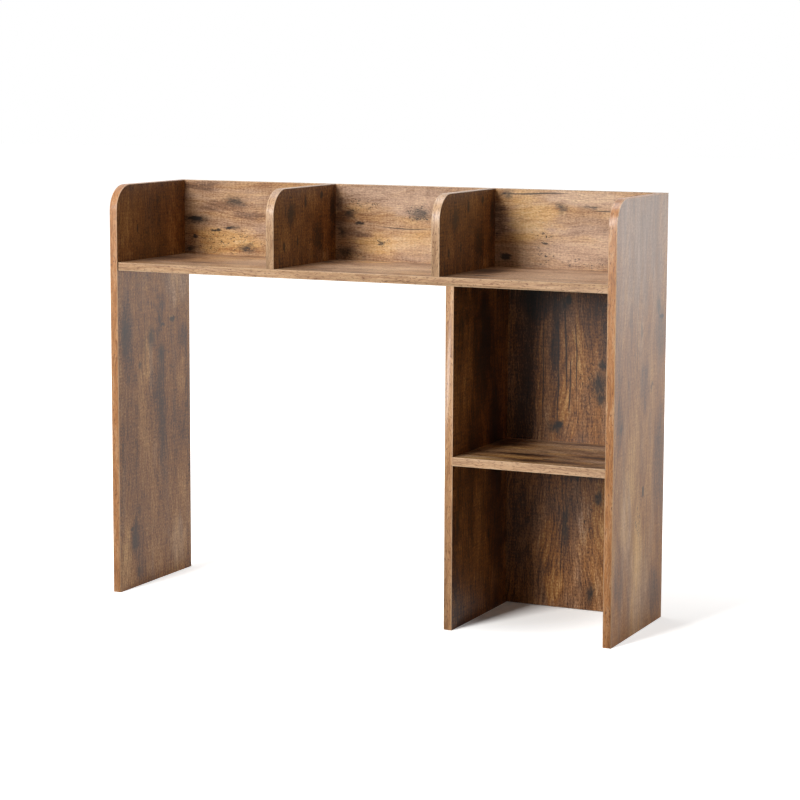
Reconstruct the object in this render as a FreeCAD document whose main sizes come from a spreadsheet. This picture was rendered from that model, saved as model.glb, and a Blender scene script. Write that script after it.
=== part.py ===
import FreeCAD, Part
import math
import os

import Sketcher
from FreeCAD import Placement, Rotation, Vector

# An over-desk hutch of laminated particle board.
#
# Two side panels carry a long shelf. Three open bays stand on the shelf, with a back panel behind them.
# A cubby of two compartments stands on the floor under the right end of the shelf.
# Cam locks, dowels and countersunk screws hold the boards together, and light bands cover their edges.
#
# X runs to the right, Y to the rear and Z up, in millimetres. The origin is on the floor, in the middle
# of the hutch's footprint.

SIZES = {
    # the whole hutch
    "overall_width": 965,
    "overall_depth": 255,
    "overall_height": 743,
    # the boards
    "board_thickness": 15,
    "corner_radius": 46,
    "long_shelf_height": 605,
    "middle_shelf_height": 300,
    "divider_offset": 12,
    "shelf_end_gap": 2.5,
    "floor_gap": 1.5,
    # the edge bands
    "band_thickness": 1,
    "band_arris": 0.6,
    # what a bore leaves around its fitting and beyond the fitting's end
    "bore_clearance": 0.1,
    "bore_spare": 1,
    # where the fittings stand
    "cam_inset": 45,
    "panel_cam_inset": 60,
    "dowel_pitch": 32,
    "screw_inset": 45,
    "panel_screw_inset": 70,
    # the cam lock
    "cam_diameter": 15,
    "cam_height": 12,
    "cam_recess": 0.3,
    "cam_reach": 24,
    "cam_cavity_diameter": 10,
    "cam_cavity_height": 7.2,
    "cam_cross_length": 7.5,
    "cam_cross_width": 1.8,
    "cam_cross_depth": 2.4,
    # the cam bolt
    "bolt_thread_diameter": 5,
    "bolt_thread_length": 10,
    "bolt_collar_diameter": 7.6,
    "bolt_collar_length": 3,
    "bolt_shank_diameter": 6,
    "bolt_neck_diameter": 3.4,
    "bolt_head_diameter": 6.4,
    "bolt_head_length": 2.6,
    # the dowel
    "dowel_diameter": 8,
    "dowel_length": 30,
    "dowel_face_depth": 10,
    "dowel_chamfer": 1,
    # the countersunk screw
    "screw_diameter": 4,
    "screw_length": 40,
    "screw_head_diameter": 8,
    "screw_head_recess": 0.2,
    "screw_tip_length": 5,
    "screw_tip_diameter": 0.8,
    "screw_cross_length": 4.4,
    "screw_cross_width": 1.1,
    "screw_cross_depth": 1.6,
}

# The origin plane across each axis, and which way a sketch on it faces
PLANES = {"x": "YZ_Plane", "y": "XZ_Plane", "z": "XY_Plane"}
FACING = {"x": 1, "y": -1, "z": 1}
AXES = {"x": Vector(1, 0, 0), "y": Vector(0, 1, 0), "z": Vector(0, 0, 1)}
TOLERANCE = 0.001


class Formula:
    """A spreadsheet expression that adds, subtracts, multiplies and divides like a number."""

    def __init__(self, text):
        self.text = str(text)

    def __add__(self, other):
        return Formula(f"{self} + {other}")

    def __sub__(self, other):
        return Formula(f"{self} - ({other})")

    def __mul__(self, factor):
        return Formula(f"({self}) * ({factor})")

    def __truediv__(self, divisor):
        return Formula(f"({self}) / ({divisor})")

    def __neg__(self):
        return Formula(f"-({self})")

    def __str__(self):
        return self.text


def size(alias):
    """The driving dimension of that name."""
    return Formula(f"sizes.{alias}")


ZERO = Formula(0)
THICKNESS = size("board_thickness")
BAND = size("band_thickness")
CLEARANCE = size("bore_clearance")
SPARE = size("bore_spare")

# Planes across X, from left to right
LEFT_OUTER = -size("overall_width") / 2
LEFT_INNER = LEFT_OUTER + THICKNESS
RIGHT_OUTER = size("overall_width") / 2
RIGHT_INNER = RIGHT_OUTER - THICKNESS
SHELF_LEFT = LEFT_INNER + size("shelf_end_gap")
BAY_WIDTH = (RIGHT_INNER - SHELF_LEFT - THICKNESS * 2) / 3
LEFT_UPPER = SHELF_LEFT + BAY_WIDTH
RIGHT_UPPER = LEFT_UPPER + THICKNESS + BAY_WIDTH
LOWER_DIVIDER = RIGHT_UPPER + THICKNESS + size("divider_offset")
CUBBY_LEFT = LOWER_DIVIDER + THICKNESS

# Planes across Y, from front to rear
FRONT = -size("overall_depth") / 2
BEHIND_BAND = FRONT + BAND
REAR = size("overall_depth") / 2
BEFORE_BAND = REAR - BAND
BACK_FACE = REAR - THICKNESS
BACK_CENTRE = REAR - THICKNESS / 2

# Planes across Z, from the floor up
FLOOR = ZERO
LOWER_BACK_FOOT = size("floor_gap")
MIDDLE_TOP = size("middle_shelf_height")
MIDDLE_CENTRE = MIDDLE_TOP - THICKNESS / 2
MIDDLE_UNDERSIDE = MIDDLE_TOP - THICKNESS
SHELF_TOP = size("long_shelf_height")
SHELF_CENTRE = SHELF_TOP - THICKNESS / 2
SHELF_UNDERSIDE = SHELF_TOP - THICKNESS
TOP = size("overall_height")
BELOW_BAND = TOP - BAND


def inside(low_plane, high_plane, inset):
    """Two places between two planes, each one inset away from one of them."""
    return low_plane + inset, high_plane - inset


# ---------------------------------------------------------------------------
# The document: its spreadsheet, and how its objects are tied to it
# ---------------------------------------------------------------------------


def make_sheet(document):
    """The spreadsheet of driving dimensions."""
    sheet = document.addObject("Spreadsheet::Sheet", "sizes")
    for row, (alias, value) in enumerate(SIZES.items(), start=1):
        sheet.set(f"A{row}", alias.replace("_", " "))
        sheet.set(f"B{row}", str(value))
        sheet.setAlias(f"B{row}", alias)
    document.recompute()


def bind(thing, **formulas):
    """Tie properties of an object to formulas."""
    for name, formula in formulas.items():
        thing.setExpression(name, str(formula))


def place_at(thing, place):
    """Tie an object's place to formulas."""
    for axis, formula in place.items():
        thing.setExpression(f"Placement.Base.{axis}", str(formula))


def attach(feature, body, axis, start, across=ZERO, up=ZERO):
    """Attach a sketch or primitive to the body's own plane across an axis, moved by three formulas."""
    plane = next(part for part in body.Origin.OriginFeatures if part.Role == PLANES[axis])
    feature.AttachmentSupport = (plane, [""])
    feature.MapMode = "FlatFace"
    feature.setExpression("AttachmentOffset.Base.x", str(across))
    feature.setExpression("AttachmentOffset.Base.y", str(up))
    feature.setExpression("AttachmentOffset.Base.z", str(start * FACING[axis]))


def measure(sketch, kind, where, drawn, formula):
    """Add a driving constraint that starts at the drawn length and follows a formula."""
    number = sketch.addConstraint(Sketcher.Constraint(kind, *where, drawn))
    sketch.setExpression(f"Constraints[{number}]", str(formula))


def pin(sketch, point, across, up):
    """Fix a point of a sketch at two distances from the sketch's origin."""
    drawn = sketch.getPoint(*point)
    ways = (("DistanceX", drawn.x, across, -2), ("DistanceY", drawn.y, up, -1))
    for kind, length, formula, axis_line in ways:
        if formula is ZERO:
            sketch.addConstraint(Sketcher.Constraint("PointOnObject", *point, axis_line))
        else:
            measure(sketch, kind, (-1, 1, *point), length, formula)


def draw_outline(sketch, low, high, radius=None):
    """A rectangle between two corners, whose upper front corner may be round."""
    corners = [Vector(1, 1, 0), Vector(4, 1, 0), Vector(4, 4, 0), Vector(1, 4, 0)]
    sides = [[here, there] for here, there in zip(corners, corners[1:] + corners[:1])]
    if radius is not None:
        sides[2][1] = Vector(2, 4, 0)
        sides[3][0] = Vector(1, 3, 0)
    for here, there in sides:
        sketch.addGeometry(Part.LineSegment(here, there))
    for side, direction in enumerate(("Horizontal", "Vertical", "Horizontal", "Vertical")):
        sketch.addConstraint(Sketcher.Constraint(direction, side))
    for here, there in ((0, 1), (1, 2), (3, 0)):
        sketch.addConstraint(Sketcher.Constraint("Coincident", here, 2, there, 1))
    if radius is None:
        sketch.addConstraint(Sketcher.Constraint("Coincident", 2, 2, 3, 1))
    else:
        circle = Part.Circle(Vector(2, 3, 0), Vector(0, 0, 1), 1)
        corner = sketch.addGeometry(Part.ArcOfCircle(circle, math.pi / 2, math.pi))
        sketch.addConstraint(Sketcher.Constraint("Tangent", 2, 2, corner, 1))
        sketch.addConstraint(Sketcher.Constraint("Tangent", corner, 2, 3, 1))
        measure(sketch, "Radius", (corner,), circle.Radius, radius)
    pin(sketch, (0, 1), *low)
    pin(sketch, (2, 1), *high)


def draw_circles(sketch, centres, diameter):
    """Circles of one diameter."""
    circle = Part.Circle(Vector(1, 1, 0), Vector(0, 0, 1), 1)
    for number, centre in enumerate(centres):
        sketch.addGeometry(circle)
        pin(sketch, (number, 3), *centre)
        if number:
            sketch.addConstraint(Sketcher.Constraint("Equal", 0, number))
    measure(sketch, "Diameter", (0,), circle.Radius * 2, diameter)


def dress(body, kind, name, wanted, **formulas):
    """A fillet or chamfer on those edges of the body's last feature that pass a test."""
    base = body.Tip
    edges = [f"Edge{number}" for number, edge in enumerate(base.Shape.Edges, start=1) if wanted(edge)]
    if not edges:
        raise RuntimeError(f"{name} finds no edge")
    feature = body.newObject(f"PartDesign::{kind}", name)
    feature.Base = (base, edges)
    bind(feature, **formulas)
    body.Document.recompute()


def span(shape, axis):
    """How far a shape reaches along an axis, as its two ends."""
    box = shape.BoundBox
    ends = {"x": (box.XMin, box.XMax), "y": (box.YMin, box.YMax), "z": (box.ZMin, box.ZMax)}
    return ends[axis]


def lies_on(shape, axis, plane):
    """Whether a shape lies in a plane across an axis."""
    return all(abs(end - plane) < TOLERANCE for end in span(shape, axis))


def is_circle(edge, radius=None):
    """Whether an edge is round, and of the given radius."""
    if edge.Curve.TypeId != "Part::GeomCircle":
        return False
    return radius is None or abs(edge.Curve.Radius - radius) < TOLERANCE


# ---------------------------------------------------------------------------
# Boards and bands
# ---------------------------------------------------------------------------


class Board:
    """A body that fills a box, with its own origin in the box's lower front left corner."""

    def __init__(self, document, name, thin_axis, low, high, radius=None):
        self.name = name
        self.low = dict(zip("xyz", low))
        self.high = dict(zip("xyz", high))
        self.extent = {axis: self.high[axis] - self.low[axis] for axis in "xyz"}
        self.body = document.addObject("PartDesign::Body", name)
        self.body.Label = name
        place_at(self.body, self.low)
        outline = self.sketch(f"{name}_outline", thin_axis, ZERO)
        draw_outline(outline, (ZERO, ZERO), self.flat(thin_axis, self.extent), radius)
        pad = self.body.newObject("PartDesign::Pad", f"{name}_pad")
        pad.Profile = outline
        pad.Reversed = FACING[thin_axis] < 0
        bind(pad, Length=self.extent[thin_axis])
        document.recompute()

    @staticmethod
    def flat(axis, place):
        """The two coordinates of a place that a sketch across an axis has."""
        return [place[other] for other in "xyz" if other != axis]

    def sketch(self, name, axis, start):
        """A sketch across an axis, at a distance from the board's own origin."""
        sketch = self.body.newObject("Sketcher::SketchObject", name)
        attach(sketch, self.body, axis, start)
        return sketch

    def cut(self, name, outline, axis, towards, depth):
        """Cut an outline into the board, and make sure that it takes something away."""
        before = self.body.Shape.Volume
        pocket = self.body.newObject("PartDesign::Pocket", name)
        pocket.Profile = outline
        pocket.Reversed = towards * FACING[axis] > 0
        bind(pocket, Length=depth)
        self.body.Document.recompute()
        if self.body.Shape.Volume > before - TOLERANCE:
            raise RuntimeError(f"{name} cuts nothing")

    def bore(self, name, spots, axis, towards, depth, diameter):
        """Bore round holes along an axis, from the plane that the spots are on."""
        places = [{way: spot.place[way] - self.low[way] for way in "xyz"} for spot in spots]
        circles = self.sketch(f"{name}_circles", axis, places[0][axis])
        draw_circles(circles, [self.flat(axis, place) for place in places], diameter)
        self.cut(name, circles, axis, towards, depth)


def make_band(document, name, axis, side, low, high):
    """A straight band on an edge that faces along an axis, with its two long outer arrises rounded."""
    band = Board(document, name, axis, low, high)
    outer = span(band.body.Tip.Shape, axis)[side > 0]
    shortest = min(edge.Length for edge in band.body.Tip.Shape.Edges if lies_on(edge, axis, outer))
    dress(band.body, "Fillet", f"{name}_arris",
          lambda edge: lies_on(edge, axis, outer) and edge.Length > shortest + TOLERANCE,
          Radius=size("band_arris"))
    return band


def make_corner_band(document, name, low, high):
    """A band that runs up the front of an upright board, round its corner and back along its top."""
    outer_radius = size("corner_radius")
    band = Board(document, name, "x", low, high, outer_radius)
    hollow = band.sketch(f"{name}_hollow_outline", "x", ZERO)
    draw_outline(hollow, (BAND, ZERO), (band.extent["y"], band.extent["z"] - BAND), outer_radius - BAND)
    band.cut(f"{name}_hollow", hollow, "x", 1, THICKNESS)
    top = span(band.body.Tip.Shape, "z")[1]
    radius = document.sizes.corner_radius
    across = document.sizes.board_thickness + TOLERANCE

    def is_outer(edge):
        outside = lies_on(edge, "y", 0) or lies_on(edge, "z", top)
        return is_circle(edge, radius) or (outside and edge.Length > across)

    dress(band.body, "Fillet", f"{name}_arris", is_outer, Radius=size("band_arris"))
    return band


def make_side(document, name, near, far):
    """A side panel that stands on the floor, with its bands."""
    return [
        Board(document, f"{name}_panel", "x", (near, BEHIND_BAND, FLOOR), (far, BEFORE_BAND, BELOW_BAND),
              size("corner_radius") - BAND),
        make_corner_band(document, f"{name}_front_band", (near, FRONT, FLOOR), (far, BEFORE_BAND, TOP)),
        make_band(document, f"{name}_rear_band", "y", 1, (near, BEFORE_BAND, FLOOR), (far, REAR, TOP)),
    ]


def make_long_shelf(document):
    """The long shelf, which stands a little off the left side panel, with its bands."""
    return [
        Board(document, "long_shelf", "z",
              (SHELF_LEFT, BEHIND_BAND, SHELF_UNDERSIDE), (RIGHT_INNER, BEFORE_BAND, SHELF_TOP)),
        make_band(document, "long_shelf_front_band", "y", -1,
                  (SHELF_LEFT, FRONT, SHELF_UNDERSIDE), (RIGHT_INNER, BEHIND_BAND, SHELF_TOP)),
        make_band(document, "long_shelf_rear_band", "y", 1,
                  (SHELF_LEFT, BEFORE_BAND, SHELF_UNDERSIDE), (RIGHT_INNER, REAR, SHELF_TOP)),
    ]


def make_upper_back(document):
    """The back panel behind the bays, which stands on the long shelf, with its band."""
    return [
        Board(document, "upper_back_panel", "y",
              (LEFT_INNER, BACK_FACE, SHELF_TOP), (RIGHT_INNER, REAR, BELOW_BAND)),
        make_band(document, "upper_back_top_band", "z", 1,
                  (LEFT_INNER, BACK_FACE, BELOW_BAND), (RIGHT_INNER, REAR, TOP)),
    ]


def make_upper_divider(document, name, near):
    """A divider between two bays, with its band."""
    far = near + THICKNESS
    return [
        Board(document, name, "x", (near, BEHIND_BAND, SHELF_TOP), (far, BACK_FACE, BELOW_BAND),
              size("corner_radius") - BAND),
        make_corner_band(document, f"{name}_band", (near, FRONT, SHELF_TOP), (far, BACK_FACE, TOP)),
    ]


def make_lower_divider(document):
    """The left wall of the cubby, from the floor to the long shelf, with its bands."""
    return [
        Board(document, "lower_divider", "x",
              (LOWER_DIVIDER, BEHIND_BAND, FLOOR), (CUBBY_LEFT, BEFORE_BAND, SHELF_UNDERSIDE)),
        make_band(document, "lower_divider_front_band", "y", -1,
                  (LOWER_DIVIDER, FRONT, FLOOR), (CUBBY_LEFT, BEHIND_BAND, SHELF_UNDERSIDE)),
        make_band(document, "lower_divider_rear_band", "y", 1,
                  (LOWER_DIVIDER, BEFORE_BAND, FLOOR), (CUBBY_LEFT, REAR, SHELF_UNDERSIDE)),
    ]


def make_middle_shelf(document):
    """The cubby's shelf, in front of its back panel, with its band."""
    return [
        Board(document, "middle_shelf", "z",
              (CUBBY_LEFT, BEHIND_BAND, MIDDLE_UNDERSIDE), (RIGHT_INNER, BACK_FACE, MIDDLE_TOP)),
        make_band(document, "middle_shelf_front_band", "y", -1,
                  (CUBBY_LEFT, FRONT, MIDDLE_UNDERSIDE), (RIGHT_INNER, BEHIND_BAND, MIDDLE_TOP)),
    ]


def make_lower_back(document):
    """The cubby's back panel, which stops just above the floor."""
    return [
        Board(document, "lower_back_panel", "y",
              (CUBBY_LEFT, BACK_FACE, LOWER_BACK_FOOT), (RIGHT_INNER, REAR, SHELF_UNDERSIDE)),
    ]


# ---------------------------------------------------------------------------
# The fittings, each modelled once at the origin and pointing along X
# ---------------------------------------------------------------------------


def new_fitting(document, name):
    """An empty body for a fitting that is copied to where it is used."""
    body = document.addObject("PartDesign::Body", name)
    body.Label = name
    return body


def add_shape(body, kind, name, axis, start, across=ZERO, up=ZERO, **formulas):
    """An additive or subtractive primitive."""
    shape = body.newObject(f"PartDesign::{kind}", name)
    attach(shape, body, axis, start, across, up)
    bind(shape, **formulas)
    body.Document.recompute()
    return shape


def add_cross(body, name, axis, start):
    """The driver's cross recess, which ends at a face across an axis."""
    length, width, depth = (size(f"{name}_cross_{side}") for side in ("length", "width", "depth"))
    for number, (across, up) in enumerate(((length, width), (width, length)), start=1):
        add_shape(body, "SubtractiveBox", f"{name}_cross_{number}", axis, start, -across / 2, -up / 2,
                  Length=across, Width=up, Height=depth)


def make_cam(document):
    """A cam lock: a drum that opens on the face at Z = 0, hollow for the head of a bolt from -X."""
    body = new_fitting(document, "cam_lock")
    bolt_height = -THICKNESS / 2
    drum_radius = size("cam_diameter") / 2
    cavity_radius = size("cam_cavity_diameter") / 2
    cavity_height = size("cam_cavity_height")
    neck_room = size("bolt_neck_diameter") / 2 + CLEARANCE
    half_wall = (drum_radius - cavity_radius) / 2
    add_shape(body, "AdditiveCylinder", "cam_drum", "z", -size("cam_recess") - size("cam_height"),
              Radius=drum_radius, Height=size("cam_height"))
    add_shape(body, "SubtractiveCylinder", "cam_cavity", "z", bolt_height - cavity_height / 2,
              Radius=cavity_radius, Height=cavity_height)
    add_shape(body, "SubtractiveCylinder", "cam_entry", "y", drum_radius * 2, up=bolt_height,
              Radius=size("bolt_head_diameter") / 2 + CLEARANCE, Height=drum_radius * 2)
    slot = add_shape(body, "SubtractiveTorus", "cam_neck_slot", "z", bolt_height,
                     Radius1=cavity_radius + half_wall,
                     Radius2=Formula(f"sqrt(({neck_room}) ^ 2 + ({half_wall}) ^ 2)"),
                     Angle3=Formula(f"90 deg + asin(({neck_room}) / ({cavity_radius}))"))
    slot.AttachmentOffset = Placement(slot.AttachmentOffset.Base, Rotation(AXES["z"], 90))
    add_cross(body, "cam", "z", -size("cam_recess") - size("cam_cross_depth"))
    return body


def make_bolt(document):
    """A cam bolt: its thread ends at X = 0 and its head is in the cam, one reach away."""
    body = new_fitting(document, "cam_bolt")
    reach = size("cam_reach")
    head_radius = size("bolt_head_diameter") / 2
    cavity_radius = size("cam_cavity_diameter") / 2
    neck_end = reach - Formula(f"sqrt(({cavity_radius}) ^ 2 - ({head_radius}) ^ 2)") + CLEARANCE
    neck_start = reach - size("cam_diameter") / 2 - SPARE
    stretches = (
        ("thread", -size("bolt_thread_length"), ZERO),
        ("collar", ZERO, size("bolt_collar_length")),
        ("shank", size("bolt_collar_length"), neck_start),
        ("neck", neck_start, neck_end),
        ("head", neck_end, neck_end + size("bolt_head_length")),
    )
    for name, start, end in stretches:
        add_shape(body, "AdditiveCylinder", f"bolt_{name}", "x", start,
                  Radius=size(f"bolt_{name}_diameter") / 2, Height=end - start)
    return body


def make_dowel(document):
    """A dowel with chamfered ends, which crosses the seam at X = 0."""
    body = new_fitting(document, "dowel")
    add_shape(body, "AdditiveCylinder", "dowel_rod", "x", -size("dowel_face_depth"),
              Radius=size("dowel_diameter") / 2, Height=size("dowel_length"))
    dress(body, "Chamfer", "dowel_ends", is_circle, Size=size("dowel_chamfer"))
    return body


def make_screw(document):
    """A countersunk screw that is driven along X from the face at X = 0."""
    body = new_fitting(document, "countersunk_screw")
    radius = size("screw_diameter") / 2
    head_radius = size("screw_head_diameter") / 2
    head_start = size("screw_head_recess")
    head_end = head_start + head_radius - radius
    tip_start = size("screw_length") - size("screw_tip_length")
    add_shape(body, "AdditiveCone", "screw_head", "x", head_start,
              Radius1=head_radius, Radius2=radius, Height=head_end - head_start)
    add_shape(body, "AdditiveCylinder", "screw_shank", "x", head_end,
              Radius=radius, Height=tip_start - head_end)
    add_shape(body, "AdditiveCone", "screw_tip", "x", tip_start,
              Radius1=radius, Radius2=size("screw_tip_diameter") / 2, Height=size("screw_tip_length"))
    add_cross(body, "screw", "x", head_start)
    return body


# ---------------------------------------------------------------------------
# The joints: their bores in the boards, and the fittings in the bores
# ---------------------------------------------------------------------------


class Spot:
    """A point where a fitting crosses a seam, and the way that it points."""

    def __init__(self, x, y, z, axis, towards):
        self.place = {"x": x, "y": y, "z": z}
        self.axis = axis
        self.towards = towards

    def moved(self, axis, formula):
        """The same spot with another coordinate along an axis."""
        place = {**self.place, axis: formula}
        return Spot(place["x"], place["y"], place["z"], self.axis, self.towards)

    def ahead(self, distance):
        """The same spot, further the way that it points."""
        return self.moved(self.axis, self.place[self.axis] + distance * self.towards)

    def direction(self):
        """The way that it points, as a vector."""
        return AXES[self.axis] * self.towards


def both_ends(left, left_plane, right, right_plane, places):
    """Spots that point at each other from the faces of a left and a right board."""
    return [
        (left, [Spot(left_plane, y, z, "x", 1) for y, z in places]),
        (right, [Spot(right_plane, y, z, "x", -1) for y, z in places]),
    ]


def add_group(document, name, fitting, spots, turns):
    """One sub-part: like fittings, each a solid of its own."""
    copies = []
    for number, (spot, turn) in enumerate(zip(spots, turns), start=1):
        copy = document.addObject("App::Link", f"{name}_{number}")
        copy.LinkedObject = fitting
        copy.Placement = Placement(Vector(), turn)
        place_at(copy, spot.place)
        copies.append(copy)
    group = document.addObject("Part::Compound", name)
    group.Label = name
    group.Links = copies
    return group


class Fitter:
    """Bores the boards at their seams, and fills the bores with fittings."""

    def __init__(self, document):
        self.document = document
        self.cam = make_cam(document)
        self.bolt = make_bolt(document)
        self.dowel = make_dowel(document)
        self.screw = make_screw(document)
        self.groups = []

    def fill(self, name, fitting, spots, turns=None):
        """Put a fitting in each spot, turned the way that the spot points unless turns are given."""
        pointing = [Rotation(AXES["x"], spot.direction()) for spot in spots]
        self.groups.append(add_group(self.document, name, fitting, spots, turns or pointing))

    def cams(self, carrier, face_axis, face_side, ends):
        """Cams in a face of the carrier pull on bolts that stand in the boards at its ends."""
        name = carrier.name
        face = (carrier.high if face_side > 0 else carrier.low)[face_axis]
        spots, centres = [], []
        for number, (receiver, seam) in enumerate(ends, start=1):
            axis, towards = seam[0].axis, seam[0].towards
            cam_centres = [spot.ahead(size("cam_reach")).moved(face_axis, face) for spot in seam]
            receiver.bore(f"{name}_thread_bores_{number}", seam, axis, -towards,
                          size("bolt_thread_length") + SPARE, size("bolt_thread_diameter") + CLEARANCE * 2)
            carrier.bore(f"{name}_shank_bores_{number}", seam, axis, towards,
                         size("cam_reach"), size("bolt_collar_diameter") + CLEARANCE * 2)
            carrier.bore(f"{name}_cam_bores_{number}", cam_centres, face_axis, -face_side,
                         size("cam_recess") + size("cam_height"), size("cam_diameter") + CLEARANCE * 2)
            spots += seam
            centres += cam_centres
        normal = AXES[face_axis] * face_side
        turns = [Rotation(spot.direction(), normal.cross(spot.direction()), normal) for spot in spots]
        self.fill(f"{name}_cams", self.cam, centres, turns)
        self.fill(f"{name}_cam_bolts", self.bolt, spots)

    def dowels(self, carrier, ends):
        """Dowels cross from the faces of the boards at the carrier's ends into its edges."""
        name = carrier.name
        diameter = size("dowel_diameter") + CLEARANCE * 2
        edge_depth = size("dowel_length") - size("dowel_face_depth") + SPARE
        spots = []
        for number, (receiver, seam) in enumerate(ends, start=1):
            axis, towards = seam[0].axis, seam[0].towards
            receiver.bore(f"{name}_face_dowel_bores_{number}", seam, axis, -towards,
                          size("dowel_face_depth") + SPARE, diameter)
            carrier.bore(f"{name}_edge_dowel_bores_{number}", seam, axis, towards, edge_depth, diameter)
            spots += seam
        self.fill(f"{name}_dowels", self.dowel, spots)

    def screws(self, name, outer, joints):
        """Screws pass through the outer board, from its open face, into the edges of others."""
        diameter = size("screw_diameter") + CLEARANCE * 2
        bore_radius = self.document.sizes.screw_diameter / 2 + self.document.sizes.bore_clearance
        cone = (size("screw_head_diameter") - size("screw_diameter")) / 2 + size("screw_head_recess")
        spots = []
        for number, (inner, heads) in enumerate(joints, start=1):
            axis, towards = heads[0].axis, heads[0].towards
            face = span(outer.body.Tip.Shape, axis)[towards < 0]
            seam = [spot.ahead(THICKNESS) for spot in heads]
            outer.bore(f"{name}_bores_{number}", heads, axis, towards, THICKNESS, diameter)
            dress(outer.body, "Chamfer", f"{name}_countersinks_{number}",
                  lambda edge: is_circle(edge, bore_radius) and lies_on(edge, axis, face), Size=cone)
            inner.bore(f"{name}_pilot_bores_{number}", seam, axis, towards,
                       size("screw_length") - THICKNESS + SPARE, diameter)
            spots += heads
        self.fill(name, self.screw, spots)


def join_long_shelf(fitter, boards):
    """The long shelf hangs between the side panels."""
    shelf = boards["long_shelf"]
    seams = boards["left_side_panel"], LEFT_INNER, boards["right_side_panel"], RIGHT_INNER
    cam_rows = inside(FRONT, REAR, size("cam_inset"))
    dowel_rows = inside(FRONT, REAR, size("cam_inset") + size("dowel_pitch"))
    fitter.cams(shelf, "z", -1, both_ends(*seams, [(y, SHELF_CENTRE) for y in cam_rows]))
    fitter.dowels(shelf, both_ends(*seams, [(y, SHELF_CENTRE) for y in dowel_rows]))


def join_lower_divider(fitter, boards):
    """The lower divider carries the long shelf, with its cams towards the open side."""
    divider, shelf = boards["lower_divider"], boards["long_shelf"]
    centre = LOWER_DIVIDER + THICKNESS / 2
    cam_rows = inside(FRONT, REAR, size("cam_inset"))
    dowel_rows = inside(FRONT, REAR, size("cam_inset") + size("dowel_pitch"))
    fitter.cams(divider, "x", -1, [(shelf, [Spot(centre, y, SHELF_UNDERSIDE, "z", -1) for y in cam_rows])])
    fitter.dowels(divider, [(shelf, [Spot(centre, y, SHELF_UNDERSIDE, "z", -1) for y in dowel_rows])])


def join_middle_shelf(fitter, boards):
    """The middle shelf hangs between the lower divider and the right side panel."""
    shelf = boards["middle_shelf"]
    seams = boards["lower_divider"], CUBBY_LEFT, boards["right_side_panel"], RIGHT_INNER
    cam_rows = inside(FRONT, BACK_FACE, size("cam_inset"))
    dowel_rows = inside(FRONT, BACK_FACE, size("cam_inset") + size("dowel_pitch"))
    fitter.cams(shelf, "z", -1, both_ends(*seams, [(y, MIDDLE_CENTRE) for y in cam_rows]))
    fitter.dowels(shelf, both_ends(*seams, [(y, MIDDLE_CENTRE) for y in dowel_rows]))


def join_upper_back(fitter, boards):
    """The upper back panel stands on the long shelf, between the side panels."""
    back = boards["upper_back_panel"]
    seams = boards["left_side_panel"], LEFT_INNER, boards["right_side_panel"], RIGHT_INNER
    bays = (SHELF_LEFT, LEFT_UPPER + THICKNESS, RIGHT_UPPER + THICKNESS)
    heads = [Spot(bay + BAY_WIDTH / 2, BACK_CENTRE, SHELF_UNDERSIDE, "z", 1) for bay in bays]
    fitter.cams(back, "y", 1, both_ends(*seams, [(BACK_CENTRE, SHELF_TOP + size("cam_inset"))]))
    fitter.dowels(back, both_ends(*seams, [(BACK_CENTRE, TOP - size("cam_inset"))]))
    fitter.screws("upper_back_panel_screws", boards["long_shelf"], [(back, heads)])


def join_lower_back(fitter, boards):
    """The lower back panel closes the cubby under the long shelf."""
    back = boards["lower_back_panel"]
    seams = boards["lower_divider"], CUBBY_LEFT, boards["right_side_panel"], RIGHT_INNER
    cam_rows = inside(LOWER_BACK_FOOT, SHELF_UNDERSIDE, size("panel_cam_inset"))
    dowel_rows = inside(LOWER_BACK_FOOT, SHELF_UNDERSIDE, size("panel_cam_inset") + size("dowel_pitch"))
    columns = inside(CUBBY_LEFT, RIGHT_INNER, size("panel_cam_inset"))
    upper_seam = [Spot(x, BACK_CENTRE, SHELF_UNDERSIDE, "z", -1) for x in columns]
    fitter.cams(back, "y", 1, both_ends(*seams, [(BACK_CENTRE, z) for z in cam_rows]))
    fitter.dowels(back, both_ends(*seams, [(BACK_CENTRE, z) for z in dowel_rows])
                  + [(boards["long_shelf"], upper_seam)])


def join_upper_dividers(fitter, boards):
    """The upper dividers are screwed on from below and from behind."""
    centres = {
        "left_upper_divider": LEFT_UPPER + THICKNESS / 2,
        "right_upper_divider": RIGHT_UPPER + THICKNESS / 2,
    }
    rows = inside(FRONT, BACK_FACE, size("screw_inset"))
    height = (SHELF_TOP + TOP) / 2
    below = [(boards[name], [Spot(x, y, SHELF_UNDERSIDE, "z", 1) for y in rows])
             for name, x in centres.items()]
    behind = [(boards[name], [Spot(x, REAR, height, "y", -1)]) for name, x in centres.items()]
    fitter.screws("upper_divider_screws", boards["long_shelf"], below)
    fitter.screws("upper_divider_rear_screws", boards["upper_back_panel"], behind)


def brace_middle_shelf(fitter, boards):
    """Screws from behind hold the lower back panel to the middle shelf."""
    columns = inside(CUBBY_LEFT, RIGHT_INNER, size("panel_screw_inset"))
    heads = [Spot(x, REAR, MIDDLE_CENTRE, "y", -1) for x in columns]
    fitter.screws("middle_shelf_rear_screws", boards["lower_back_panel"], [(boards["middle_shelf"], heads)])


# ---------------------------------------------------------------------------
# The whole hutch
# ---------------------------------------------------------------------------


def make_boards(document):
    """All boards and bands, by name."""
    made = (
        make_side(document, "left_side", LEFT_OUTER, LEFT_INNER)
        + make_side(document, "right_side", RIGHT_INNER, RIGHT_OUTER)
        + make_long_shelf(document)
        + make_upper_back(document)
        + make_upper_divider(document, "left_upper_divider", LEFT_UPPER)
        + make_upper_divider(document, "right_upper_divider", RIGHT_UPPER)
        + make_lower_divider(document)
        + make_middle_shelf(document)
        + make_lower_back(document)
    )
    return {board.name: board for board in made}


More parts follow.
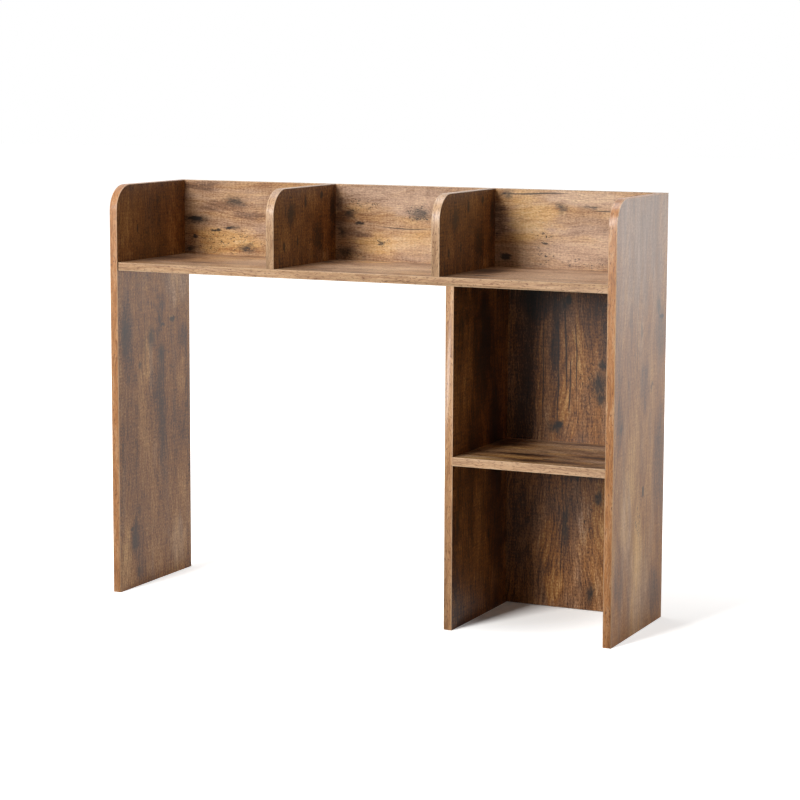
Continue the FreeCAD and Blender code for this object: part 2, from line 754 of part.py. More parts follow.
def check(document, subparts):
    """Stop if any object failed or any sub-part is no sound solid."""
    for thing in document.Objects:
        if {"Invalid", "Error"} & set(thing.State):
            raise RuntimeError(f"{thing.Label} failed: {thing.State}")
    for part in subparts:
        if part.Shape.isNull() or not part.Shape.isValid() or not part.Shape.Solids:
            raise RuntimeError(f"{part.Label} has no sound solid")


def export(subparts):
    """Write each sub-part to a file of its own name."""
    os.makedirs("parts", exist_ok=True)
    for part in subparts:
        part.Shape.exportStep(f"parts/{part.Label}.step")


def main():
    document = FreeCAD.newDocument("over_desk_hutch")
    make_sheet(document)
    boards = make_boards(document)
    fitter = Fitter(document)
    join_long_shelf(fitter, boards)
    join_lower_divider(fitter, boards)
    join_middle_shelf(fitter, boards)
    join_upper_back(fitter, boards)
    join_lower_back(fitter, boards)
    join_upper_dividers(fitter, boards)
    brace_middle_shelf(fitter, boards)
    document.recompute()
    subparts = [board.body for board in boards.values()] + fitter.groups
    check(document, subparts)
    export(subparts)
    solids = sum(len(part.Shape.Solids) for part in subparts)
    print(f"{len(subparts)} sub-parts, {solids} solids")


main()
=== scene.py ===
import math
from collections import namedtuple

import bpy
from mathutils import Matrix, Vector


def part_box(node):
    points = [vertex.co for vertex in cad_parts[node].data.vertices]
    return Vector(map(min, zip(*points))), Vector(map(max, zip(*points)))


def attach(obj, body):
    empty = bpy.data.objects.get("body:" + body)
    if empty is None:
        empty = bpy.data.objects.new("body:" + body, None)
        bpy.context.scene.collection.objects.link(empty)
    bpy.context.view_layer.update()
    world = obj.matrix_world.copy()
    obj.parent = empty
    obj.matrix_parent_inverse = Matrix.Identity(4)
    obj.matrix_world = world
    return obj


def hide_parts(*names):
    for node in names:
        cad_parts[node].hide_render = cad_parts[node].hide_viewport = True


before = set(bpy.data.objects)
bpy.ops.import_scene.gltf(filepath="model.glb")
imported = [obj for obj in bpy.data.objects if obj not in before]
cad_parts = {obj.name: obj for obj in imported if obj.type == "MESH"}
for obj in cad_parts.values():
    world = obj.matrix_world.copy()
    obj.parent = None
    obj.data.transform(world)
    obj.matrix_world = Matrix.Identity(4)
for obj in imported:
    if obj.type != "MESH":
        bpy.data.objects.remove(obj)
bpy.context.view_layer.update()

bl_info = {
    "name": "Over-desk hutch finishes",
    "version": (1, 0, 0),
    "blender": (4, 5, 0),
    "location": "View3D > Sidebar > Hutch",
    "description": "Dresses the hutch in printed laminate, edge bands and fittings, and sets its stage",
    "category": "Object",
}

MM = 0.001


# ---------------------------------------------------------------------------
# Colours and sizes that a user would change
# ---------------------------------------------------------------------------


def srgb(code):
    """A colour written as sRGB hex, as the linear numbers that Blender works in."""
    channels = [int(code[start:start + 2], 16) / 255 for start in (1, 3, 5)]
    linear = [c / 12.92 if c <= 0.04045 else ((c + 0.055) / 1.055) ** 2.4 for c in channels]
    return (*linear, 1.0)


def colour(name, code, description):
    """A colour property whose default is an sRGB hex value."""
    return bpy.props.FloatVectorProperty(
        name=name, description=description, subtype="COLOR", size=4, min=0, max=1, default=srgb(code))


def length(name, millimetres, description):
    """A length property, whose default is given in millimetres."""
    return bpy.props.FloatProperty(
        name=name, description=description, unit="LENGTH", min=0, default=millimetres * MM)


def share(name, default, description):
    """A property from 0 to 1."""
    return bpy.props.FloatProperty(
        name=name, description=description, subtype="FACTOR", min=0, max=1, default=default)


def power(name, watts, description):
    """A lamp's power."""
    return bpy.props.FloatProperty(name=name, description=description, unit="POWER", default=watts)


class LaminateSettings(bpy.types.PropertyGroup):
    """The rustic print on the boards' faces, and the particle board where they are cut."""

    cream: colour("Cream", "#E6C79C", "The lightest wood of the print")
    golden: colour("Golden", "#CC9F63", "The golden wood")
    brown: colour("Brown", "#925E2B", "The middle brown, where the print is golden")
    umber: colour("Umber", "#482509", "The dark streaks, where the print is golden")
    sand: colour("Sand", "#BF9C80", "The light wood, where the print is greyed")
    taupe: colour("Taupe", "#846248", "The middle brown, where the print is greyed")
    bark: colour("Bark", "#422917", "The dark streaks, where the print is greyed")
    charcoal: colour("Charcoal", "#2F2216", "The smudges")
    soot: colour("Soot", "#120904", "The knots, cracks and wormholes")
    chip_light: colour("Light chips", "#C9AC7E", "The pale chips of the raw particle board")
    chip_dark: colour("Dark chips", "#8A6B45", "The dark chips of the raw particle board")
    ring_spacing: length("Ring spacing", 9, "The distance between growth rings across the grain")
    pore_length: length("Pore length", 9, "The length of a printed pore along the grain")
    roughness: share("Roughness", 0.42, "How dull the printed faces are")


class BandSettings(bpy.types.PropertyGroup):
    """The oak-coloured bands on the boards' edges."""

    amber: colour("Amber", "#AC733F", "The ground colour of the side panels' bands")
    honey: colour("Honey", "#AE7F52", "The ground colour of the lower divider's bands")
    oak: colour("Oak", "#B8916B", "The ground colour of the other bands")
    pore: colour("Pore", "#6B4022", "The dark pores along the band")
    pale: colour("Pale", "#D2B08A", "The pale streaks along the band")
    # The colour of the painted highlight along the bands' arrises.
    arris_highlight: colour("Painted arris highlight", "#D9BD9A", "The plastic that shows along the scraped arrises")
    roughness: share("Roughness", 0.42, "How dull the bands are")
    lacquer: share("Lacquer", 0.25, "How much clear lacquer shines on the bands")


class FittingSettings(bpy.types.PropertyGroup):
    """The metal and wooden fittings that hold the boards together."""

    zinc: colour("Zinc", "#A9A9A5", "The die-cast cam locks")
    steel: colour("Steel", "#C3C4C2", "The zinc-plated bolts and screws")
    beech: colour("Beech", "#D3B184", "The dowels")


class StageSettings(bpy.types.PropertyGroup):
    """The floor, the lamps and the white surroundings."""

    floor_width: length("Floor width", 40000, "The width of the floor")
    floor: colour("Floor", "#F4F3F1", "The floor's own colour")
    key_strength: power("Key strength", 400, "Power of the large lamp at the front left")
    top_strength: power("Top strength", 68, "Power of the lamp overhead")
    rim_strength: power("Rim strength", 41, "Power of the low lamp at the rear right")
    side_strength: power("Side strength", 22, "Power of the low lamp at the right")
    fill_strength: share("Fill strength", 0.04, "Light that the white surroundings give")


SETTINGS = {
    "hutch_laminate": LaminateSettings,
    "hutch_band": BandSettings,
    "hutch_fitting": FittingSettings,
    "hutch_stage": StageSettings,
}


# ---------------------------------------------------------------------------
# Nodes
# ---------------------------------------------------------------------------


class NodeMaker:
    """Builds the node tree of one material or world."""

    def __init__(self, owner):
        owner.use_nodes = True
        self.owner = owner
        self.tree = owner.node_tree
        self.tree.nodes.clear()

    def add(self, kind, settings=None, **sockets):
        """Add a node and return its first usable output. A socket is given by name, or as _0 by its place,
        and its value is a number, a colour or another node's output."""
        node = self.tree.nodes.new(f"ShaderNode{kind}")
        for setting, value in (settings or {}).items():
            setattr(node, setting, value)
        for socket, value in sockets.items():
            place = int(socket[1:]) if socket[1:].isdigit() else socket.replace("_", " ")
            target = node.inputs[place]
            if isinstance(value, bpy.types.NodeSocket):
                self.tree.links.new(value, target)
            else:
                target.default_value = value
        return next((output for output in node.outputs if output.enabled), None)


def calc(make, operation, first, second=0.0, third=0.0):
    """One step of arithmetic."""
    return make.add("Math", {"operation": operation}, _0=first, _1=second, _2=third)


def add_up(make, *terms):
    """The sum of values, each with its share."""
    total = 0.0
    for value, weight in terms:
        total = calc(make, "MULTIPLY_ADD", value, weight, total)
    return total


def rise(make, value, low, high, most=1.0):
    """0 where a value is low, and from there in a straight line to its most where the value is high."""
    return make.add("MapRange", Value=value, From_Min=low, From_Max=high, To_Max=most)


def cover(make, base, tint, amount):
    """A colour laid over another one."""
    return make.add("MixRGB", Fac=amount, Color1=base, Color2=tint)


def ramp(make, value, *stops):
    """Colours that follow a value; each stop is its place and its colour."""
    colours = make.add("ValToRGB", _0=value)
    elements = colours.node.color_ramp.elements
    for number, (place, tint) in enumerate(stops):
        element = elements[number] if number < 2 else elements.new(place)
        element.position, element.color = place, tint
    return colours


def surface_place(make, kind="Object"):
    """Where a point of the surface lies on the object, or its Normal."""
    return make.add("TexCoord").node.outputs[kind]


def axes_of(make, vector):
    """A vector's parts X, Y and Z."""
    return make.add("SeparateXYZ", Vector=vector).node.outputs


def moved(make, place, shift):
    """A place with a shift added."""
    return make.add("VectorMath", {"operation": "ADD"}, _0=place, _1=shift)


def blend(first, second, amount):
    """A colour between two others."""
    return tuple((1 - amount) * one + amount * other for one, other in zip(first, second))


def darker(tint, factor):
    """A colour with less light."""
    return (*(channel * factor for channel in tint[:3]), 1.0)


def span(node, axis):
    """The middle and half the width of a CAD node's box along an axis."""
    low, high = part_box(node)
    number = "xyz".index(axis)
    return (low[number] + high[number]) / 2, (high[number] - low[number]) / 2


# ---------------------------------------------------------------------------
# The print on the boards
# ---------------------------------------------------------------------------

# Where a board's grain runs, its other two axes, the side of it that faces the room (1 high, -1 low), how
# light its stretch of the printed paper is, how strong its patches and its fibres are, how grey it is, and
# how far along the paper it was cut.
Board = namedtuple("Board", "along across through seen lightness contrast crispness greyness offset")
BOARDS = {
    "left_side_panel": Board("z", "y", "x", 1, 0.46, 0.55, 0.9, -0.1, (0.3, 0.1, 0.0)),
    "right_side_panel": Board("z", "y", "x", 1, 0.53, 0.5, 0.5, 0.1, (2.1, 0.7, 0.3)),
    "left_upper_divider": Board("z", "y", "x", 1, 0.47, 0.6, 1.15, -0.1, (4.3, 1.9, 0.6)),
    "right_upper_divider": Board("z", "y", "x", 1, 0.43, 0.55, 1.1, -0.2, (4.3, 1.9, 0.6)),
    "lower_divider": Board("z", "y", "x", 1, 0.36, 0.85, 1.0, -0.2, (6.7, 3.1, 1.2)),
    "lower_back_panel": Board("z", "x", "y", -1, 0.43, 0.95, 0.8, 0.3, (7.9, 4.4, 1.5)),
    "upper_back_panel": Board("x", "z", "y", -1, 0.655, 0.62, 0.68, 0.6, (9.2, 5.3, 1.8)),
    "long_shelf": Board("x", "y", "z", 1, 0.58, 0.85, 1.2, 0.7, (11.4, 6.2, 2.1)),
    "middle_shelf": Board("x", "y", "z", 1, 0.63, 1.2, 1.2, 0.5, (13.1, 7.5, 2.4)),
}

# The print's own marks on each board's seen face, in millimetres: how far along and across the board a mark
# lies, and its half length and half width. The unseen face carries them mirrored. Golden, pale and dark
# patches shift the ground colour, smudges are soft and charcoal, specks are clusters of wormholes, knots are
# small black spots, and cracks thin black lines.
# A few patches paint shade or a reflection rather than the print; they are noted where they stand.
MARKS = {
    "upper_back_panel": {
        "golden": ((-370, 632, 90, 34), (-50, 636, 70, 30), (20, 640, 80, 36), (235, 690, 66, 50),
                   (-395, 612, 60, 14)),
        "pale": ((-20, 722, 130, 26), (20, 640, 90, 40), (330, 650, 130, 60), (340, 730, 90, 20),
                 (0, 700, 50, 20)),
        # The dark patches at -142 and 172 along lie beside the upper dividers: painted shadow of the dividers
        # on the back panel.
        "dark": ((-380, 694, 80, 16), (-142, 690, 14, 40), (-440, 735, 60, 14),
                 (172, 690, 16, 60), (-320, 680, 50, 10), (-100, 655, 40, 10)),
        "smudges": ((-440, 670, 44, 15), (-360, 705, 34, 14), (-455, 614, 20, 9), (-335, 618, 30, 14),
                    (-130, 620, 30, 15), (20, 693, 36, 18), (292, 712, 14, 17), (-366, 657, 30, 6),
                    (345, 715, 22, 7), (-120, 690, 16, 16), (190, 735, 14, 14), (-135, 655, 16, 12),
                    (-57, 638, 12, 6), (-430, 668, 26, 9)),
        "specks": ((-380, 628, 110, 32), (20, 693, 50, 24), (262, 650, 18, 26), (262, 622, 26, 16),
                   (340, 616, 60, 14), (-57, 638, 24, 12), (-100, 708, 60, 16), (-130, 620, 50, 22)),
        "knots": ((-445, 637, 7, 5), (-405, 650, 9, 3), (-100, 673, 12, 4), (187, 623, 14, 8),
                  (-395, 651, 7, 3), (-372, 655, 8, 3), (-447, 671, 21, 5)),
        "cracks": ((242, 735, 76, 1.6), (-10, 668, 60, 1.2), (380, 707, 40, 1.3), (262, 650, 7, 2)),
    },
    "left_side_panel": {
        "golden": ((660, -90, 90, 26), (650, 60, 60, 20), (330, -45, 130, 22), (60, -100, 90, 30),
                   (360, 95, 80, 22), (180, 95, 90, 24), (420, -30, 60, 16)),
        "pale": ((560, 80, 70, 70), (60, 80, 80, 40), (400, -20, 80, 20), (30, -10, 60, 40)),
        "dark": ((690, 0, 60, 34), (330, 22, 170, 26), (470, -100, 110, 30), (500, 20, 60, 24),
                 (445, 105, 50, 20), (85, -75, 50, 26)),
        "smudges": ((455, -12, 30, 20), (423, 22, 26, 15), (470, -105, 50, 18), (410, -52, 12, 9),
                    (85, -78, 30, 18), (25, -62, 22, 12)),
        "specks": ((330, 0, 90, 40),),
        "knots": ((485, 63, 7, 13), (478, 28, 5, 9), (662, -57, 10, 4), (110, -86, 5, 6)),
        "cracks": ((455, -35, 70, 1.1), (330, 118, 90, 0.9)),
    },
    "left_upper_divider": {
        "golden": ((650, -85, 50, 26), (720, 20, 30, 24)),
        "pale": ((615, 60, 20, 40),),
        "dark": ((700, -60, 34, 30), (650, 40, 60, 24), (680, 105, 70, 20)),
        "smudges": ((620, -107, 12, 8), (655, 38, 30, 8), (702, 100, 40, 14), (700, -60, 22, 18)),
        "specks": ((640, 40, 30, 60),),
        "knots": ((716, -6, 14, 5), (726, 56, 10, 7), (641, -88, 11, 6), (649, -38, 12, 4)),
        "cracks": ((670, 20, 40, 0.9),),
    },
    "lower_divider": {
        "golden": ((150, -20, 160, 22), (420, -70, 140, 22), (90, -95, 120, 16), (520, -20, 80, 16)),
        "pale": ((60, 60, 60, 30),),
        "dark": ((480, 0, 130, 60), (300, 60, 160, 40)),
        "smudges": ((180, -105, 34, 12), (520, -90, 30, 14)),
        "specks": ((420, -70, 60, 20),),
        "knots": ((140, 30, 12, 5),),
        "cracks": ((400, -40, 120, 1.2), (150, -60, 90, 1.2), (200, 10, 120, 1.2), (480, 30, 100, 1.2)),
    },
    "lower_back_panel": {
        "golden": ((360, 300, 60, 14), (120, 275, 70, 20), (40, 285, 40, 26), (170, 375, 90, 24),
                   (470, 330, 70, 16)),
        "pale": ((160, 340, 60, 14),),
        "dark": ((550, 250, 60, 76), (400, 222, 180, 36), (470, 285, 90, 12), (250, 340, 20, 60)),
        "smudges": ((545, 300, 22, 10), (405, 366, 34, 24), (325, 286, 20, 22), (150, 307, 66, 8),
                    (205, 368, 22, 12), (30, 357, 28, 13), (380, 370, 16, 14), (440, 372, 14, 12)),
        "specks": ((400, 350, 60, 30), (150, 350, 60, 20)),
        "knots": ((552, 308, 12, 7), (330, 293, 8, 8)),
        "cracks": ((470, 303, 110, 1.8), (450, 322, 90, 1.5), (420, 290, 130, 1.5), (140, 300, 110, 1.2),
                   (440, 262, 130, 1.5), (400, 310, 60, 1.8)),
    },
    "right_side_panel": {
        "golden": ((330, -30, 140, 40), (170, 0, 140, 30)),
        # The pale and the dark patch at 690 along cover the same spot and only grey the top of the outer
        # face: a painted reflection of the white surroundings, carried mirrored on the inner face.
        "pale": ((80, 0, 150, 60), (200, -60, 120, 40), (690, 0, 190, 190)),
        "dark": ((280, 100, 120, 40), (120, -92, 100, 28), (55, 85, 60, 46), (500, 100, 70, 40),
                 (420, 20, 60, 30), (550, -52, 50, 12), (690, 0, 190, 190), (370, -100, 60, 20)),
        "smudges": ((552, 87, 24, 18), (518, 0, 16, 7), (417, 58, 12, 12), (362, -93, 16, 12)),
        "specks": ((200, 0, 60, 20),),
        "knots": ((240, 20, 13, 6), (533, 102, 5, 16)),
        "cracks": ((480, -20, 90, 0.9), (160, 40, 110, 0.9)),
    },
    "long_shelf": {
        "golden": ((-60, 90, 50, 20),),
        "pale": ((0, 0, 160, 150), (330, 0, 160, 150), (-240, -20, 80, 100)),
        "dark": ((-430, 0, 70, 110), (-170, 40, 40, 80), (195, 20, 40, 90), (-350, -60, 80, 16)),
        "smudges": ((-150, 60, 40, 16), (215, -70, 46, 14), (-80, -95, 50, 9)),
        "specks": ((20, -60, 60, 30),),
        "knots": ((-440, -60, 14, 5), (150, -96, 14, 4)),
        "cracks": ((60, -70, 60, 0.9),),
    },
    "middle_shelf": {
        "golden": ((285, -78, 80, 16), (235, 15, 70, 16), (370, 45, 50, 14), (345, -20, 40, 12),
                   (240, -112, 50, 12), (420, -85, 50, 12)),
        "pale": ((400, 70, 80, 40), (430, -60, 40, 14)),
        "dark": ((215, 60, 60, 60), (285, -46, 100, 16), (350, -98, 110, 14), (420, -30, 60, 12),
                 (350, 90, 80, 12)),
        "smudges": ((320, -110, 44, 8), (285, -45, 40, 6), (380, -62, 30, 6)),
        "specks": ((400, 30, 50, 40),),
        "knots": ((345, -78, 11, 5), (440, -86, 11, 4), (313, -8, 12, 4), (445, -114, 16, 4)),
        "cracks": ((330, 20, 60, 0.9),),
    },
}
MARKS["right_upper_divider"] = MARKS["left_upper_divider"]

# The print's noises: how long and how wide their blotches are in millimetres, their detail and roughness.
NOISES = {
    "sway": (160, 70, 2.0, 0.55),
    "patch": (240, 55, 3.0, 0.55),
    "streak": (150, 14, 3.0, 0.6),
    "cloud": (30, 9, 3.0, 0.65),
    "line": (130, 3.0, 2.0, 0.6),
    "fibre": (32, 2.2, 3.0, 0.6),
    "mottle": (4.4, 2.4, 2.0, 0.6),
    "saw": (3.0, 45, 2.0, 0.55),
    "tint": (150, 30, 3.0, 0.55),
    "fleck": (8, 3, 3.0, 0.7),
    "fray": (9, 2.0, 3.0, 0.7),
    "colony": (40, 20, 2.0, 0.55),
    "band sway": (45, 20, 2.0, 0.55),
    "band stretch": (110, 9, 3.0, 0.6),
    "band line": (36, 2.2, 3.0, 0.6),
    "band pore": (7, 1.6, 2.0, 0.6),
}
# How deep all of them reach into the board, in millimetres.
BLOTCH_DEPTH = 25

# The detail and roughness of a mark's ragged outline, and for each kind of mark how long and how wide its
# bays and tongues are, and how far they reach at most along and across the grain, in millimetres.
TORN_DETAIL, TORN_ROUGHNESS = 4.0, 0.7
PATCH_EDGE = ((60, 16), (50, 15))
SMUDGE_EDGE = ((26, 9), (22, 8))
SPECK_EDGE = ((14, 8), (17, 8))
KNOT_EDGE = ((10, 5), (8, 4))

# How much lighter a golden, a pale and a dark patch make the wood, and how much greyer.
PATCH_TONE = {"golden": 0.11, "pale": 0.11, "dark": -0.26}
PATCH_GREYNESS = {"golden": -0.7, "pale": 0.5, "dark": 0.3}

# The tones at which the wood has its dark, middle and light colours; 0 is soot and 1 is cream.
DARK_TONE, MIDDLE_TONE, LIGHT_TONE = 0.26, 0.5, 0.76

# The farthest sways of the grain and of the cracks lie this many metres apart, though most of the grain
# sways by a few millimetres. A pore's width is in millimetres. The counts are for a metre along, across and
# through the board. The rings are contours of a coarse field, which rises from 0 to 1 over so many metres.
GRAIN_SWAY = 0.03
CRACK_SWAY = 0.015
PORE_WIDTH = 0.8
WORMHOLES_PER_METRE = (170, 260, 1)
CHIPS_PER_METRE = (420, 300, 500)
RING_FIELD_PER_METRE = (1.6, 8.0, 6.0)
RING_FIELD_RISE = 0.25

# How much the printed faces' roughness varies up and down, and how much rougher the cut faces are.
ROUGHNESS_SPREAD = 0.05
CUT_ROUGHNESS = 0.4


def nearest_mark(make, place, marks):
    """How close a point lies to the nearest of a board's marks: 1 at a mark's middle, and 0 outside them."""
    nearest = 0.0
    for along, across, half_length, half_width in marks:
        spot = make.add("Mapping", {"vector_type": "TEXTURE"}, Vector=place,
                        Location=(along * MM, across * MM, 0.0),
                        Scale=(half_length * MM, half_width * MM, 1.0))
        near = make.add("TexGradient", {"gradient_type": "SPHERICAL"}, Vector=spot)
        nearest = calc(make, "MAXIMUM", nearest, near)
    return nearest


def blotches(make, place, size, detail, roughness):
    """A noise whose blotches have a real length and width in millimetres."""
    per_metre = tuple(1000 / measure for measure in (*size, BLOTCH_DEPTH))
    scaled = make.add("Mapping", Vector=place, Scale=per_metre)
    return make.add("TexNoise", Vector=scaled, Scale=1.0, Detail=detail, Roughness=roughness)


def grain_noise(make, place, kind):
    """One of the print's noises, around 0."""
    along, across, detail, roughness = NOISES[kind]
    return calc(make, "SUBTRACT", blotches(make, place, (along, across), detail, roughness), 0.5)


def torn(make, place, paper, edge):
    """A place that wanders along and across the grain, so that what is drawn there has ragged edges."""
    size, reach = edge
    noise = blotches(make, paper, size, TORN_DETAIL, TORN_ROUGHNESS).node.outputs["Color"]
    along, across = (millimetres * 2 * MM for millimetres in reach)
    shift = make.add("VectorMath", {"operation": "MULTIPLY_ADD"}, _0=noise, _1=(along, across, 0.0),
                     _2=(-along / 2, -across / 2, 0.0))
    return moved(make, place, shift)


def across_shift(make, sway, most):
    """A shift across the grain."""
    return make.add("CombineXYZ", Y=calc(make, "MULTIPLY", sway, most))


Paper = namedtuple("Paper", "flat roll grain coarse sway facing chips")


def printed_paper(make, node):
    """The places at which a board's print is drawn: flat on the board, along the whole roll of paper, on the
    swaying grain and torn into coarse patches; also the sway, how squarely a point faces through the board,
    and the place at which its chips are drawn. The board's unseen face carries the print mirrored."""
    board = BOARDS[node]
    place = axes_of(make, surface_place(make))
    facing = axes_of(make, surface_place(make, "Normal"))[board.through.upper()]
    middle, _ = span(node, board.across)
    side = calc(make, "GREATER_THAN", calc(make, "MULTIPLY", facing, board.seen), -0.5)
    side = calc(make, "MULTIPLY_ADD", side, 2.0, -1.0)
    across = calc(make, "SUBTRACT", place[board.across.upper()], middle)
    across = calc(make, "MULTIPLY_ADD", across, side, middle)
    along = place[board.along.upper()]
    flat = make.add("CombineXYZ", X=along, Y=across)
    roll = make.add("Mapping", Vector=flat, Location=board.offset)
    sway = grain_noise(make, roll, "sway")
    grain = moved(make, roll, across_shift(make, sway, GRAIN_SWAY))
    coarse = torn(make, flat, roll, PATCH_EDGE)
    chips = make.add("CombineXYZ", X=along, Y=across, Z=place[board.through.upper()])
    return Paper(flat, roll, grain, coarse, sway, facing, chips)


def wood_ground(make, paper, board, marks, look, noises):
    """The print's ground: broad patches, streaks of 15 mm and 3 mm, saw marks across the grain and growth
    rings, in golden wood that turns to greyed wood and back."""
    line = rise(make, grain_noise(make, paper.grain, "line"), 0.08, 0.18)
    broad = add_up(make, (grain_noise(make, paper.grain, "patch"), 0.85),
                   (grain_noise(make, paper.grain, "streak"), 0.3), (noises["cloud"], 0.3), (line, -0.1))
    crisp = add_up(make, (noises["fibre"], 0.75), (grain_noise(make, paper.roll, "mottle"), 0.8),
                   (noises["saw"], 0.25))
    golden, pale, dark = (
        make.add("MapRange", {"interpolation_type": "SMOOTHSTEP"}, From_Max=0.7,
                 Value=nearest_mark(make, paper.coarse, marks[kind])) for kind in ("golden", "pale", "dark"))
    tone = add_up(make, (broad, board.contrast), (crisp, board.crispness), (golden, PATCH_TONE["golden"]),
                  (pale, PATCH_TONE["pale"]), (dark, PATCH_TONE["dark"] * board.contrast),
                  (1.0, board.lightness))

    # the rings are the contours of a smooth field, so they close into cathedrals
    field = make.add("Mapping", Vector=paper.grain, Scale=RING_FIELD_PER_METRE)
    field = make.add("TexNoise", Vector=field, Scale=1.0, Detail=1.0, Roughness=0.4)
    ring = calc(make, "PINGPONG", calc(make, "MULTIPLY", field, RING_FIELD_RISE / look.ring_spacing), 0.5)
    tone = calc(make, "ADD", tone, rise(make, ring, 0.25, 0.5, -0.1 * board.contrast))

    golden_wood, grey_wood = (
        ramp(make, tone, (0.0, look.soot), (1.0, look.cream), (DARK_TONE, streaks), (MIDDLE_TONE, middle),
             (LIGHT_TONE, light))
        for streaks, middle, light in ((look.umber, look.brown, look.golden),
                                       (look.bark, look.taupe, look.sand)))
    greyness = add_up(make, (grain_noise(make, paper.grain, "tint"), 2.4), (golden, PATCH_GREYNESS["golden"]),
                      (pale, PATCH_GREYNESS["pale"]), (dark, PATCH_GREYNESS["dark"]), (1.0, board.greyness))
    return cover(make, golden_wood, grey_wood, rise(make, greyness, 0.0, 1.0))


def stained(make, base, paper, board, marks, look, noises):
    """The ground with charcoal smudges that fray into dark fibres, and with black knots, cracks and
    wormholes. Smudges and knots are weaker on a board whose stretch of the print has little contrast."""
    strong = min(1.0, 0.3 + 0.7 * board.contrast)
    smudge = nearest_mark(make, torn(make, paper.flat, paper.roll, SMUDGE_EDGE), marks["smudges"])
    fleck = grain_noise(make, paper.roll, "fleck")
    soft = add_up(make, (smudge, 1.2), (fleck, 1.3), (noises["fibre"], 1.2), (noises["cloud"], 0.8))
    base = cover(make, base, look.charcoal, rise(make, soft, 0.15, 0.95, 0.9 * strong))
    frayed = add_up(make, (smudge, 0.7), (grain_noise(make, paper.grain, "fray"), 2.0))
    base = cover(make, base, look.soot, rise(make, frayed, 0.38, 0.7, 0.9 * strong))

    knot = nearest_mark(make, torn(make, paper.flat, paper.roll, KNOT_EDGE), marks["knots"])
    knot = add_up(make, (knot, 1.0), (fleck, 0.7))
    base = cover(make, base, look.soot, rise(make, knot, 0.05, 0.45, min(0.95, 1.25 * strong)))
    bent = moved(make, paper.flat, across_shift(make, paper.sway, CRACK_SWAY))
    crack = add_up(make, (nearest_mark(make, bent, marks["cracks"]), 1.0), (fleck, 0.6))
    base = cover(make, base, look.soot, rise(make, crack, 0.05, 0.35, 0.85))

    # each wormhole has a size of its own, and is drawn twice the real millimetre so that it shows
    fine = torn(make, paper.flat, paper.roll, SPECK_EDGE)
    cell = make.add("TexVoronoi", {"voronoi_dimensions": "2D"}, Scale=1.0,
                    Vector=make.add("Mapping", Vector=fine, Scale=WORMHOLES_PER_METRE))
    hole = calc(make, "MULTIPLY_ADD", cell.node.outputs["Color"], 0.45, cell)
    hole = make.add("MapRange", Value=hole, From_Min=0.29, From_Max=0.44, To_Min=1.0, To_Max=0.0)
    colony = add_up(make, (nearest_mark(make, paper.coarse, marks["specks"]), 1.6),
                    (grain_noise(make, paper.roll, "colony"), 1.6))
    hole = calc(make, "MULTIPLY", hole, rise(make, colony, 0.2, 0.6))
    return cover(make, base, look.soot, hole)


def printed_laminate(name, node, look):
    """Melamine paper on particle board, pressed against a finely brushed plate: satin, with open pores. The
    paper is printed with old wood: long streaks from umber to gold, charcoal stains, knots and wormholes."""
    board, marks = BOARDS[node], MARKS[node]
    make = NodeMaker(bpy.data.materials.new(name))
    paper = printed_paper(make, node)
    noises = {
        "cloud": grain_noise(make, paper.grain, "cloud"),
        "fibre": grain_noise(make, paper.grain, "fibre"),
        "saw": grain_noise(make, paper.roll, "saw"),
    }
    base = wood_ground(make, paper, board, marks, look, noises)
    base = stained(make, base, paper, board, marks, look, noises)

    # pores: short dark dashes, drawn a little wider than the real 0.3 mm so that they show
    pore = blotches(make, paper.grain, (look.pore_length / MM, PORE_WIDTH), 1.0, 0.55)
    pore = rise(make, calc(make, "SUBTRACT", pore, 0.5), 0.1, 0.24, 0.45)
    base = cover(make, base, look.umber, pore)

    # the cut ends and the bores show the particle board: chips 2 to 4 mm long
    chips = make.add("Mapping", Vector=paper.chips, Scale=CHIPS_PER_METRE)
    chips = make.add("TexVoronoi", Vector=chips, Scale=1.0).node.outputs["Color"]
    cut = calc(make, "LESS_THAN", calc(make, "ABSOLUTE", paper.facing), 0.5)
    base = cover(make, base, cover(make, look.chip_light, look.chip_dark, chips), cut)

    rough = make.add("MapRange", Value=noises["fibre"], From_Min=-0.3, From_Max=0.3,
                     To_Min=look.roughness - ROUGHNESS_SPREAD, To_Max=look.roughness + ROUGHNESS_SPREAD)
    rough = calc(make, "MULTIPLY_ADD", cut, CUT_ROUGHNESS, rough)
    height = add_up(make, (pore, -1.0), (noises["fibre"], 0.5), (noises["saw"], 0.3))
    bump = make.add("Bump", Strength=0.2, Distance=0.1 * MM, Height=height)
    shader = make.add("BsdfPrincipled", Base_Color=base, Roughness=rough, Normal=bump, IOR=1.43)
    make.add("OutputMaterial", Surface=shader)
    return make.owner


# ---------------------------------------------------------------------------
# The edge bands and the fittings
# ---------------------------------------------------------------------------

# The axes that a band follows, the axis across it, and the setting that holds its ground colour. One that
# turns a round corner follows two axes, because its height and its depth together grow steadily from its foot
# to its rear end.
Band = namedtuple("Band", "follows across ground")
BANDS = {
    "left_side_front_band": Band("yz", "x", "amber"),
    "left_side_rear_band": Band("z", "x", "amber"),
    "right_side_front_band": Band("yz", "x", "amber"),
    "right_side_rear_band": Band("z", "x", "amber"),
    "left_upper_divider_band": Band("yz", "x", "oak"),
    "right_upper_divider_band": Band("yz", "x", "oak"),
    "lower_divider_front_band": Band("z", "x", "honey"),
    "lower_divider_rear_band": Band("z", "x", "honey"),
    "long_shelf_front_band": Band("x", "z", "oak"),
    "long_shelf_rear_band": Band("x", "z", "oak"),
    "middle_shelf_front_band": Band("x", "z", "oak"),
    "upper_back_top_band": Band("x", "y", "oak"),
}
# How far apart along the tape two bands were cut and how far its grain's farthest sways lie apart, in metres,
# and how far from its edges the painted highlight along the arrises begins and is whole.
TAPE_PIECE = 0.7
BAND_SWAY = 0.016
ARRIS_HIGHLIGHT_EDGE = (1.6 * MM, 0.8 * MM)


